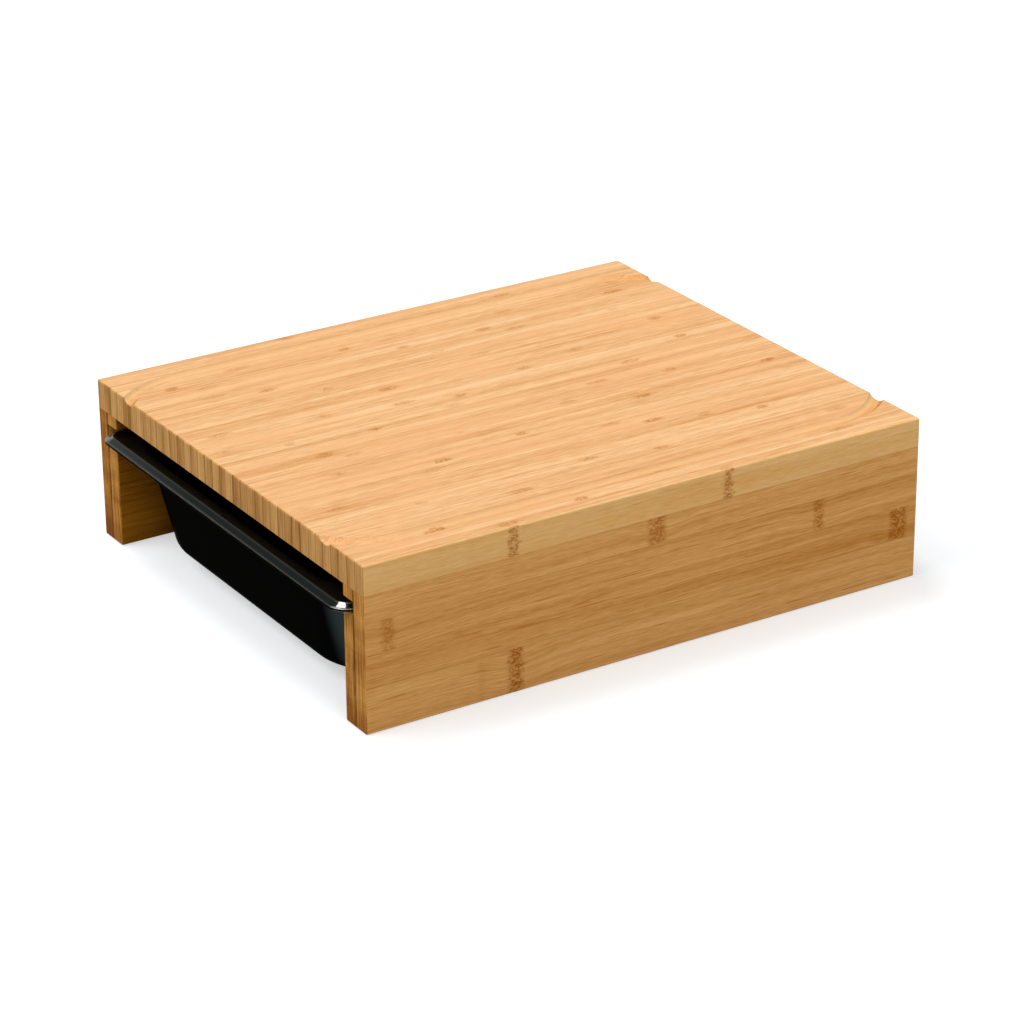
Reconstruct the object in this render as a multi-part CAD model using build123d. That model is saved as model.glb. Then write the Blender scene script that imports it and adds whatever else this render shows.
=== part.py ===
from build123d import *
import math
import os

# A table-shaped bamboo cutting board with two trays hung under it, one at each end. Millimetres.
# X runs across the open ends, Y from the front end to the rear end, and Z up.
# The origin is on the worktop, under the middle of the board. +X is the right side.

# ---- Board ----
board_width = 300.0
board_depth = 355.0
top_thickness = 17.0
side_height = 79.0
outer_ply_thickness = 10.5
inner_ply_thickness = 10.5
edge_radius = 1.0

# ---- Runner groove: the gap left in the inner ply of each side ----
runner_strip_height = 7.5       # the strip of inner ply between the groove and the top
groove_height = 6.5

# ---- Juice grooves in the cutting face ----
juice_groove_width = 9.0
juice_groove_depth = 2.8
juice_groove_inset = 21.0       # from the side of the board to the groove's centre line
juice_bend_radius = 55.0
juice_bend_length = 41.0        # from the end of the board to where the bend starts
juice_cutter_overrun = 12.0     # how far the cut runs on past the end of the board

# ---- Dowels between the sides and the top ----
dowel_diameter = 6.0
dowel_length = 30.0
dowel_rise = 10.5               # the part of its length that is in the top
dowel_count = 4
dowel_end_distance = 40.0       # from the end of the board to the first dowel
dowel_chamfer = 0.6
dowel_glue_gap = 0.05           # all round the dowel
dowel_hole_end_gap = 0.5        # past each end of the dowel

# ---- Trays ----
rim_side_clearance = 1.5        # from the rim to the outer ply, on each side
rim_rest_clearance = 0.3        # from the rim's lower edge to the ledge under it
rim_projection = 7.5            # how far the rim stands proud of the board's end
tray_meeting_gap = 0.8          # between the two trays under the middle of the board
tray_ground_clearance = 8.3     # from the worktop up to the tray's base
rim_lip_height = 1.2            # the upright lip all round the rim's outside
rim_lip_width = 2.2
rim_lip_radius = 0.45
rim_slope_height = 2.4          # the band that slopes up from the lip to the rim's crest
rim_slope_width = 4.7
rim_crest_radius = 1.6
rim_corner_radius = 12.5
flange_thickness = 2.0
wall_thickness = 2.0
wall_inset = 11.4               # from the rim's outer edge to the outside of the wall, at the rim's top
wall_draft = 9.6                # degrees from upright
wall_corner_radius = 36.0
base_corner_radius = 42.0
base_edge_radius = 9.0
shoulder_radius = 6.0           # inside, from the flange down into the tray

# ---- Worked out from the sizes above ----
board_height = side_height + top_thickness
half_width = board_width / 2
half_depth = board_depth / 2
groove_roof_height = side_height - runner_strip_height
groove_floor_height = groove_roof_height - groove_height
outer_ply_inner_face = half_width - outer_ply_thickness
side_inner_face = outer_ply_inner_face - inner_ply_thickness

rim_width = 2 * (outer_ply_inner_face - rim_side_clearance)
rim_length = half_depth + rim_projection - tray_meeting_gap / 2
rim_bottom = groove_floor_height + rim_rest_clearance
rim_lip_top = rim_bottom + rim_lip_height
rim_top = rim_lip_top + rim_slope_height
flange_bottom = rim_top - flange_thickness
crest_corner_radius = rim_corner_radius - rim_slope_width
tray_centre = half_depth + rim_projection - rim_length / 2
tray_height = rim_top - tray_ground_clearance
draft_slope = math.tan(math.radians(wall_draft))
under_flange_radius = shoulder_radius - flange_thickness

LEFT, RIGHT = -1, 1
FRONT, REAR = -1, 1
SAME_PLACE = 1e-4


def slab(x_range, y_range, z_range, outside=""):
    """A box between three pairs of limits. Each edge between two outside faces is rounded."""
    size = [high - low for low, high in (x_range, y_range, z_range)]
    box = Pos(x_range[0], y_range[0], z_range[0]) * Box(*size, align=(Align.MIN,) * 3)
    limits = {"X": x_range, "Y": y_range, "Z": z_range}
    places = [(name[1], limits[name[1]][name[0] == "+"]) for name in outside.split()]

    def lies_at(edge, axis, place):
        bounds = edge.bounding_box()
        ends = (getattr(bounds.min, axis), getattr(bounds.max, axis))
        return all(abs(end - place) < SAME_PLACE for end in ends)

    rounded = [e for e in box.edges() if sum(lies_at(e, *place) for place in places) == 2]
    return fillet(rounded, edge_radius) if rounded else box


def on_side(shape, side):
    """A shape made for the right side, or its mirror image for the left one."""
    return shape if side == RIGHT else mirror(shape, about=Plane.YZ)


# ---- Dowels ----
def dowel_spots():
    """Where the right side's dowels are centred: in the outer ply, evenly spaced along it."""
    across = half_width - outer_ply_thickness / 2
    height = side_height + dowel_rise - dowel_length / 2
    span = board_depth - 2 * dowel_end_distance
    steps = range(dowel_count)
    return [Pos(across, span * (n / (dowel_count - 1) - 0.5), height) for n in steps]


def dowel_holes(side):
    """Cutters for one side's dowel holes, through the joint between the side and the top."""
    hole = Cylinder(dowel_diameter / 2 + dowel_glue_gap, dowel_length + 2 * dowel_hole_end_gap)
    return [on_side(spot * hole, side) for spot in dowel_spots()]


def dowels(side):
    """One side's dowels, as separate solids."""
    dowel = Cylinder(dowel_diameter / 2, dowel_length)
    dowel = chamfer(dowel.edges().filter_by(GeomType.CIRCLE), dowel_chamfer)
    return Compound([on_side(spot * dowel, side) for spot in dowel_spots()])


# ---- Board ----
def juice_groove_path(side):
    """Centre line of one juice groove, in plan: in over the front edge, along, and out at the rear."""
    straight = half_width - juice_groove_inset
    bend_centre = straight - juice_bend_radius
    bend_start = half_depth - juice_bend_length
    turn = math.asin(juice_bend_length / juice_bend_radius)

    def on_bend(angle, end):
        across = bend_centre + juice_bend_radius * math.cos(angle)
        along = bend_start + juice_bend_radius * math.sin(angle)
        return Vector(side * across, end * along)

    def bend(end):
        return ThreePointArc(*(on_bend(turn * share, end) for share in (1, 0.5, 0)))

    def overrun(end):
        way_out = Vector(-side * math.sin(turn), end * math.cos(turn))
        return Line(on_bend(turn, end), on_bend(turn, end) + way_out * juice_cutter_overrun)

    middle = Line(on_bend(0, FRONT), on_bend(0, REAR))
    return Wire([overrun(FRONT), bend(FRONT), middle, bend(REAR), overrun(REAR)])


def juice_groove_cutter(side):
    """A round-nosed cut: a tube along the groove, whose lowest part dips into the cutting face."""
    half_groove = juice_groove_width / 2
    nose_radius = (half_groove**2 + juice_groove_depth**2) / (2 * juice_groove_depth)
    path = Pos(0, 0, board_height + nose_radius - juice_groove_depth) * juice_groove_path(side)
    return sweep(Plane(origin=path @ 0, z_dir=path % 0) * Circle(nose_radius), path=path)


def top_panel():
    """The cutting plate, with its juice grooves and the upper halves of the dowel holes."""
    x_range, y_range = (-half_width, half_width), (-half_depth, half_depth)
    plate = slab(x_range, y_range, (side_height, board_height), "-X +X -Y +Y +Z")
    for side in (LEFT, RIGHT):
        plate -= juice_groove_cutter(side)
        plate -= dowel_holes(side)
    return plate


def side_outer(side):
    """Outer ply of a side: its full height, with the lower halves of the dowel holes."""
    x_range = (outer_ply_inner_face, half_width)
    ply = slab(x_range, (-half_depth, half_depth), (0, side_height), "+X -Y +Y -Z")
    return on_side(ply - dowel_holes(RIGHT), side)


def side_inner(side):
    """Inner ply of a side, up to the ledge that the tray rims slide on."""
    x_range = (side_inner_face, outer_ply_inner_face)
    ply = slab(x_range, (-half_depth, half_depth), (0, groove_floor_height), "-X -Y +Y -Z +Z")
    return on_side(ply, side)


def runner_strip(side):
    """The strip of inner ply between the groove and the top."""
    x_range = (side_inner_face, outer_ply_inner_face)
    z_range = (groove_roof_height, side_height)
    return on_side(slab(x_range, (-half_depth, half_depth), z_range, "-X -Y +Y -Z"), side)


# ---- Trays ----
def tray_section(inset, corner_radius, height):
    """A level section of the tray: the rim's outline drawn in by the inset."""
    outline = RectangleRounded(rim_width - 2 * inset, rim_length - 2 * inset, corner_radius)
    return Pos(0, 0, height) * outline


def tray_bowl(thickness):
    """The tapered bowl, solid, drawn in on every side by the thickness."""
    low = tray_ground_clearance + thickness
    depth = rim_top - low
    growth = (base_corner_radius - wall_corner_radius) / tray_height
    top_inset = wall_inset + thickness
    top = tray_section(top_inset, wall_corner_radius - thickness, rim_top)
    base_corner = wall_corner_radius - thickness + growth * depth
    base = tray_section(top_inset + draft_slope * depth, base_corner, low)
    bowl = loft([top, base], ruled=True)
    return fillet(bowl.faces().sort_by(Axis.Z)[0].edges(), base_edge_radius - thickness)


def hole_edges(shape, height):
    """Edges round the hole in the level face at a height."""
    level = [f for f in shape.faces().filter_by(Axis.Z) if abs(f.center().Z - height) < SAME_PLACE]
    return [edge for face in level for wire in face.inner_wires() for edge in wire.edges()]


def edges_at(shape, height):
    """Edges that lie level at a height."""
    return shape.edges().filter_by_position(Axis.Z, height - SAME_PLACE, height + SAME_PLACE)


def tray_rim():
    """A tray's rim, over its whole width: an upright lip, and a band sloping up to the flange."""
    lip = extrude(tray_section(0, rim_corner_radius, rim_bottom), rim_lip_height)
    slope_foot = tray_section(0, rim_corner_radius, rim_lip_top)
    crest = tray_section(rim_slope_width, crest_corner_radius, rim_top)
    rim = lip + loft([slope_foot, crest], ruled=True)
    rim = fillet(edges_at(rim, rim_top), rim_crest_radius)
    rim = fillet(edges_at(rim, rim_lip_top) + edges_at(rim, rim_bottom), rim_lip_radius)
    hollow_foot = tray_section(rim_lip_width, rim_corner_radius - rim_lip_width, rim_bottom)
    hollow_roof = tray_section(rim_slope_width, crest_corner_radius, flange_bottom)
    return rim - loft([hollow_foot, hollow_roof], ruled=True)


def tray(end):
    """One tray: a rim with a turned-down lip round a tapered bowl with rounded corners."""
    shape = tray_rim() + tray_bowl(0)
    shape = fillet(hole_edges(shape, flange_bottom), under_flange_radius)
    shape -= tray_bowl(wall_thickness)
    shape = fillet(hole_edges(shape, rim_top), shoulder_radius)
    return Pos(0, end * tray_centre, 0) * shape


if __name__ == "__main__":
    os.makedirs("parts", exist_ok=True)
    export_step(top_panel(), "parts/top_panel.step")
    for side, name in ((LEFT, "left"), (RIGHT, "right")):
        export_step(side_outer(side), f"parts/{name}_side_outer.step")
        export_step(side_inner(side), f"parts/{name}_side_inner.step")
        export_step(runner_strip(side), f"parts/{name}_runner_strip.step")
        export_step(dowels(side), f"parts/{name}_dowels.step")
    for end, name in ((FRONT, "front"), (REAR, "rear")):
        export_step(tray(end), f"parts/{name}_tray.step")
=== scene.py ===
import logging
import math
from dataclasses import dataclass, field, replace
from enum import Enum
from functools import cached_property, partial, reduce

import bmesh
import bpy
from mathutils import Matrix, Vector


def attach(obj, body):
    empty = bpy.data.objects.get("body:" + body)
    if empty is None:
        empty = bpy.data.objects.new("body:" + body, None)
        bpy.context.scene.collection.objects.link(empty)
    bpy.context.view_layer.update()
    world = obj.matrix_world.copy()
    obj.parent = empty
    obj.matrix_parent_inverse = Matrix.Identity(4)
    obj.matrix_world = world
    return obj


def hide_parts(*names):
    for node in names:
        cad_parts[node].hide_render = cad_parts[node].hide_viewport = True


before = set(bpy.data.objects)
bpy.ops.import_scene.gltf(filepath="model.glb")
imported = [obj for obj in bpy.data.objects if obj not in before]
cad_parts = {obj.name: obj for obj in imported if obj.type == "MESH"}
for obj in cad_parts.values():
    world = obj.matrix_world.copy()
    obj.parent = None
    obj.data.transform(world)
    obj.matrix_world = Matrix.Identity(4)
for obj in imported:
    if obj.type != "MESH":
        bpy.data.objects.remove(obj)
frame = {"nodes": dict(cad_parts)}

# Bamboo cutting board on two legs, with a black tray hung under each open end.
# Lengths are in millimetres wherever a name or a comment doesn't say otherwise.
# +X is the right side, +Y runs from the front end to the rear end, and +Z is up.

log = logging.getLogger("cutting_board")

MM = 0.001
TRAY_CENTRE = 92.7  # from the middle of the board to the middle of a tray

Socket = bpy.types.NodeSocket
Plug = float | tuple | Socket
Plugs = dict[str | int, Plug]
Colour = tuple[float, float, float]
Pair = tuple[float, float]


class End(Enum):
    """The two open ends of the board."""

    FRONT = -1
    REAR = 1


class Side(Enum):
    """The two legs of the board."""

    LEFT = -1
    RIGHT = 1


# ---------------------------------------------------------------- helpers
class ShaderSketch:
    """One material's or world's nodes, added and wired in the order in which they are asked for."""

    def __init__(self, owner: bpy.types.Material | bpy.types.World) -> None:
        """Starts with no nodes.

        Args:
            owner: The material or world.
        """
        self.owner = owner
        owner.use_nodes = True
        self.tree = owner.node_tree
        self.tree.nodes.clear()

    def add(self, kind: str, plugs: Plugs | None = None, **settings: object) -> bpy.types.Node:
        """Adds a node, sets its options and fills its sockets.

        Args:
            kind: Blender's class name of the node, without the leading ShaderNode.
            plugs: Values or sockets, by the name or the number of the input they go to.
            **settings: Options of the node.

        Returns:
            The new node.
        """
        node = self.tree.nodes.new("ShaderNode" + kind)
        for key, value in settings.items():
            setattr(node, key, value)
        for key, value in (plugs or {}).items():
            self.plug(node.inputs[key], value)
        return node

    def plug(self, socket: Socket, value: Plug) -> None:
        """Links a socket to an input, or sets the input to a constant.

        Args:
            socket: The input.
            value: A socket to link, or a number, vector or colour to set.
        """
        if isinstance(value, Socket):
            self.tree.links.new(value, socket)
        elif isinstance(value, tuple) and socket.type == "RGBA" and len(value) == 3:
            socket.default_value = (*value, 1.0)
        else:
            socket.default_value = value

    def math(self, operation: str, *values: Plug) -> Socket:
        """Returns the result of a Math node on one to three values."""
        return self.add("Math", dict(enumerate(values)), operation=operation).outputs[0]

    def clamped(self, value: Plug) -> Socket:
        """Returns a value kept between 0 and 1."""
        return self.add("Math", {0: value, 1: 1.0}, operation="MULTIPLY", use_clamp=True).outputs[0]

    def absolute(self, value: Plug) -> Socket:
        """Returns a value without its sign."""
        return self.math("ABSOLUTE", value)

    def inverse(self, share: Plug) -> Socket:
        """Returns 1 less a share."""
        return self.less(1.0, share)

    def between(self, share: Plug, low: float, high: float) -> Socket:
        """Returns a value that goes evenly from low at a share of 0 to high at 1."""
        return self.math("MULTIPLY_ADD", share, high - low, low)

    def swing(self, share: Plug, amount: float) -> Socket:
        """Returns a share stretched to an amount, with 0 in its middle."""
        return self.between(share, -amount / 2, amount / 2)

    def total(self, *values: Plug) -> Socket:
        """Returns the sum of two or more values."""
        return reduce(partial(self.math, "ADD"), values)

    def times(self, *values: Plug) -> Socket:
        """Returns the product of two or more values."""
        return reduce(partial(self.math, "MULTIPLY"), values)

    def most(self, *values: Plug) -> Socket:
        """Returns the greatest of two or more values."""
        return reduce(partial(self.math, "MAXIMUM"), values)

    def less(self, value: Plug, other: Plug) -> Socket:
        """Returns a value with another taken off."""
        return self.math("SUBTRACT", value, other)

    def ease(self, value: Plug, start: float, stop: float, low: float = 0.0, high: float = 1.0) -> Socket:
        """Returns a smooth step: low where the value is at start or before it, high from stop on.

        Args:
            value: What is measured.
            start: Where the step begins, which may be above stop.
            stop: Where the step ends.
            low: The result at start.
            high: The result at stop.

        Returns:
            The step's value.
        """
        if start > stop:
            start, stop, low, high = stop, start, high, low
        plugs = {"Value": value, "From Min": start, "From Max": stop, "To Min": low, "To Max": high}
        return self.add("MapRange", plugs, interpolation_type="SMOOTHSTEP").outputs["Result"]

    def near(self, value: Plug, place: Plug, reach: float, fade: float) -> Socket:
        """Returns 1 within a reach of a place, falling to 0 over the fade beyond it."""
        return self.ease(self.absolute(self.less(value, place)), reach + fade, reach)

    def beyond(self, value: Plug, limit: float) -> Socket:
        """Returns 1 from a limit on, on both sides of 0, and 0 half a millimetre before it."""
        return self.ease(self.absolute(value), limit - 0.5, limit)

    def vector(self, x: Plug, y: Plug, z: Plug) -> Socket:
        """Returns a vector made of three values."""
        return self.add("CombineXYZ", {0: x, 1: y, 2: z}).outputs[0]

    def split(self, vector: Plug) -> tuple[Socket, ...]:
        """Returns the three parts of a vector."""
        return tuple(self.add("SeparateXYZ", {0: vector}).outputs)

    def noise(self, place: Plug, scale: float, detail: float, roughness: float = 0.5) -> Socket:
        """Returns smooth noise of about 0 to 1 at a place, with features 1 / scale across."""
        plugs = {"Vector": place, "Scale": scale, "Detail": detail, "Roughness": roughness}
        return self.add("TexNoise", plugs).outputs["Fac"]

    def noise_along(self, place: Plug, scale: float) -> Socket:
        """Returns smooth noise of about 0 to 1 along a single value."""
        plugs = {"W": place, "Scale": scale, "Detail": 1.0}
        return self.add("TexNoise", plugs, noise_dimensions="1D").outputs["Fac"]

    def draws(self, number: Plug) -> tuple[Socket, ...]:
        """Returns three draws of 0 to 1, always the same ones for the same number."""
        lot = self.add("TexWhiteNoise", {"W": number}, noise_dimensions="1D")
        return tuple(self.add("SeparateColor", {0: lot.outputs["Color"]}).outputs)

    def blend(self, share: Plug, first: Plug, second: Plug) -> Socket:
        """Returns the first colour at a share of 0 and the second one at 1."""
        return self.add("Mix", {"Factor": share, 6: first, 7: second}, data_type="RGBA").outputs[2]

    def blend_value(self, share: Plug, first: Plug, second: Plug) -> Socket:
        """Returns the first value at a share of 0 and the second one at 1."""
        return self.add("Mix", {"Factor": share, 2: first, 3: second}, data_type="FLOAT").outputs[0]

    @cached_property
    def place(self) -> tuple[Socket, ...]:
        """The three object coordinates, in millimetres."""
        source = self.add("TexCoord").outputs["Object"]
        scaled = self.add("VectorMath", {0: source, "Scale": 1 / MM}, operation="SCALE").outputs[0]
        return self.split(scaled)

    def seen(self) -> Socket:
        """Returns 1 for what is seen, straight, mirrored or through a pane, and 0 for what only lights."""
        rays = self.add("LightPath").outputs
        return self.most(*(rays[f"Is {kind} Ray"] for kind in ("Camera", "Glossy", "Transmission")))

    def finish(self, shader: bpy.types.Node) -> bpy.types.Material:
        """Wires the shader to the surface and returns the material."""
        self.add("OutputMaterial", {"Surface": shader.outputs[0]})
        return self.owner


def add_object(name: str, data: bpy.types.ID) -> bpy.types.Object:
    """Adds an object to the scene.

    Args:
        name: Its name.
        data: Its mesh, light or camera.

    Returns:
        The object.
    """
    made = bpy.data.objects.new(name, data)
    bpy.context.scene.collection.objects.link(made)
    return made


def add_mesh(name: str, mesh: bmesh.types.BMesh) -> bpy.types.Object:
    """Adds a mesh object to the scene.

    Args:
        name: Its name.
        mesh: What it is made from, which is then freed.

    Returns:
        The object.
    """
    data = bpy.data.meshes.new(name)
    mesh.to_mesh(data)
    mesh.free()
    return add_object(name, data)


# ---------------------------------------------------------------- bamboo
@dataclass(frozen=True)
class Tones:
    """The two ends of one bamboo surface's colour range, linear."""

    pale: Colour
    deep: Colour


@dataclass(frozen=True)
class Knot:
    """A node of the cane where it crosses one strip.

    Attributes:
        strip: The strip's number, from the bottom of the leg up.
        along: Its distance from the front end.
        strength: How dark it is, 0 to 1.
        half_length: Half its length along the strip.
    """

    strip: int
    along: float
    strength: float = 1.0
    half_length: float = 4.0


@dataclass(frozen=True)
class Fibres:
    """Lines that run along the cane, each about 0 to 1.

    Attributes:
        broad: Soft streaks a few millimetres wide.
        coarse: Lines about a millimetre wide.
        fine: Hair lines.
        threads: 1 on a few long dark threads, and 0 beside them.
    """

    broad: Socket
    coarse: Socket
    fine: Socket
    threads: Socket


@dataclass(frozen=True)
class BambooFinish:
    """What every bamboo surface shares: its fibres, gloss and relief.

    Attributes:
        knot: Colour of a node's dashes.
        seam: Colour of a glue line.
        roughness: Mean roughness of the oiled surface.
        roughness_range: How far the roughness varies in all.
        specular: Specular level of the shader.
        relief: Height of the fibres.
        relief_strength: Share of that height that shows.
        layers: Noise of the streaks, the lines and the hair lines, and one whose middle level the dark
            threads follow. Each has a stretch along the cane, a scale and a detail.
        crispness: Share of the finer detail in each layer.
        strip_shift: How far one strip's pattern may lie from another's, along the noise.
        dash_scale: Scale of the dashes in a node, across the cane.
        grain: How far the strip's lightness, the streaks, the lines and the hair lines move the tone in all.
        thread_depth: How far a dark thread lowers it.
        end_mean: Mean tone of the end grain.
        end_swings: How far the strip's lightness and the upright streaks move that tone in all.
        streak_stretch: Scale of the streaks across and upwards.
        bundle_scale: Scale of the fibre bundles between them.
        half_depth: Half the board's depth.
        end_skin: How thick the end grain is.
        underside: Height of the plate's underside, where the legs join it.
        joint_line: Half the width of the line there, and how far it fades out.
    """

    knot: Colour = (0.38, 0.105, 0.0)
    seam: Colour = (0.13, 0.036, 0.005)
    roughness: float = 0.55
    roughness_range: float = 0.16
    specular: float = 0.03
    relief: float = 0.05
    relief_strength: float = 0.35
    layers: tuple[tuple[float, float, float], ...] = (
        (0.020, 0.15, 2.0), (0.016, 0.85, 2.0), (0.045, 2.2, 2.0), (0.010, 0.42, 1.0),
    )
    crispness: float = 0.6
    strip_shift: float = 90.0
    dash_scale: float = 1.25
    grain: tuple[float, float, float, float] = (0.24, 1.2, 0.9, 1.3)
    thread_depth: float = 0.55
    end_mean: float = 0.54
    end_swings: Pair = (0.16, 2.3)
    streak_stretch: Pair = (0.95, 0.022)
    bundle_scale: float = 1.6
    half_depth: float = 177.5
    end_skin: float = 0.3
    underside: float = 79.0
    joint_line: Pair = (0.12, 0.25)

    def fibres(self, sketch: ShaderSketch, place: tuple[Plug, ...], shift: Plug) -> Fibres:
        """Fibres that run along Y.

        Args:
            sketch: The material.
            place: The coordinates.
            shift: Moves the pattern along the fibres, so that no two strips match.

        Returns:
            The lines of four widths.
        """
        x, y, z = place
        start = sketch.times(shift, self.strip_shift)
        found = []
        for stretch, scale, detail in self.layers:
            run = sketch.math("MULTIPLY_ADD", y, stretch, start)
            found.append(sketch.noise(sketch.vector(x, run, z), scale, detail, self.crispness))
        broad, coarse, fine, wander = found
        threads = sketch.ease(sketch.absolute(sketch.less(wander, 0.5)), 0.022, 0.004)
        return Fibres(broad, coarse, fine, sketch.times(threads, sketch.ease(broad, 0.42, 0.60)))

    def long_tone(self, sketch: ShaderSketch, mean: Plug, tint: Plug, fibres: Fibres) -> Socket:
        """Tone of the surfaces that run along the cane.

        Args:
            sketch: The material.
            mean: The mean tone.
            tint: The strip's own lightness, 0 to 1.
            fibres: The fibres.

        Returns:
            The tone, about 0 to 1.
        """
        lines = zip((tint, fibres.broad, fibres.coarse, fibres.fine), self.grain)
        swings = (sketch.swing(line, amount) for line, amount in lines)
        return sketch.total(mean, *swings, sketch.times(fibres.threads, -self.thread_depth))

    def end_tone(self, sketch: ShaderSketch, tint: Plug, shift: Plug) -> Socket:
        """Tone of the end grain, with upright streaks and the bundles between them.

        Args:
            sketch: The material.
            tint: The strip's own lightness, 0 to 1.
            shift: A value that differs from one stack of streaks to the next.

        Returns:
            The tone, about 0 to 1.
        """
        x, _, z = sketch.place
        across, upwards = self.streak_stretch
        stretched = sketch.vector(sketch.times(x, across), shift, sketch.times(z, upwards))
        lines = (tint, sketch.noise(stretched, 1.0, 3.0, 0.65))
        swings = (sketch.swing(line, amount) for line, amount in zip(lines, self.end_swings))
        bundles = sketch.noise(sketch.vector(x, shift, z), self.bundle_scale, 1.0)
        return sketch.total(self.end_mean, *swings, sketch.swing(bundles, 0.45))

    def dashes(self, sketch: ShaderSketch, run: float, low: float, high: float) -> Socket:
        """The cut ends of the fibres that cross a node: short dashes along Y.

        Args:
            sketch: The material.
            run: Share by which the dashes are stretched along Y, under 1 for longer ones.
            low: Noise level below which there is no dash.
            high: Noise level above which a dash is full.

        Returns:
            1 on the dashes and 0 between them.
        """
        x, y, z = sketch.place
        drawn_out = sketch.vector(x, sketch.times(y, run), z)
        return sketch.ease(sketch.noise(drawn_out, self.dash_scale, 2.0, self.crispness), low, high)

    def joint(self, sketch: ShaderSketch, fibres: Fibres) -> Socket:
        """Returns how strongly the joint between a leg and the plate shows."""
        line = sketch.near(sketch.place[2], self.underside, *self.joint_line)
        return sketch.times(line, sketch.ease(fibres.broad, 0.35, 0.60), 0.30)

    def shade(self, sketch: ShaderSketch, colour: Plug, fibres: Fibres, mark: Plug) -> bpy.types.Material:
        """Ends a bamboo material.

        Args:
            sketch: The material.
            colour: Its colour.
            fibres: Its fibres, which give the relief and vary the gloss.
            mark: 1 in the nodes, which lie lower.

        Returns:
            The material.
        """
        height = sketch.total(
            sketch.times(fibres.coarse, 0.5), sketch.times(fibres.fine, 0.5), sketch.times(mark, -0.5),
        )
        plugs = {"Height": height, "Strength": self.relief_strength, "Distance": self.relief * MM}
        bump = sketch.add("Bump", plugs)
        vary = self.roughness_range / 2
        rough = sketch.between(fibres.coarse, self.roughness - vary, self.roughness + vary)
        plugs = {"Base Color": colour, "Roughness": rough, "Normal": bump.outputs[0]}
        shader = sketch.add("BsdfPrincipled", plugs)
        shader.inputs["Specular IOR Level"].default_value = self.specular
        return sketch.finish(shader)


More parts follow.
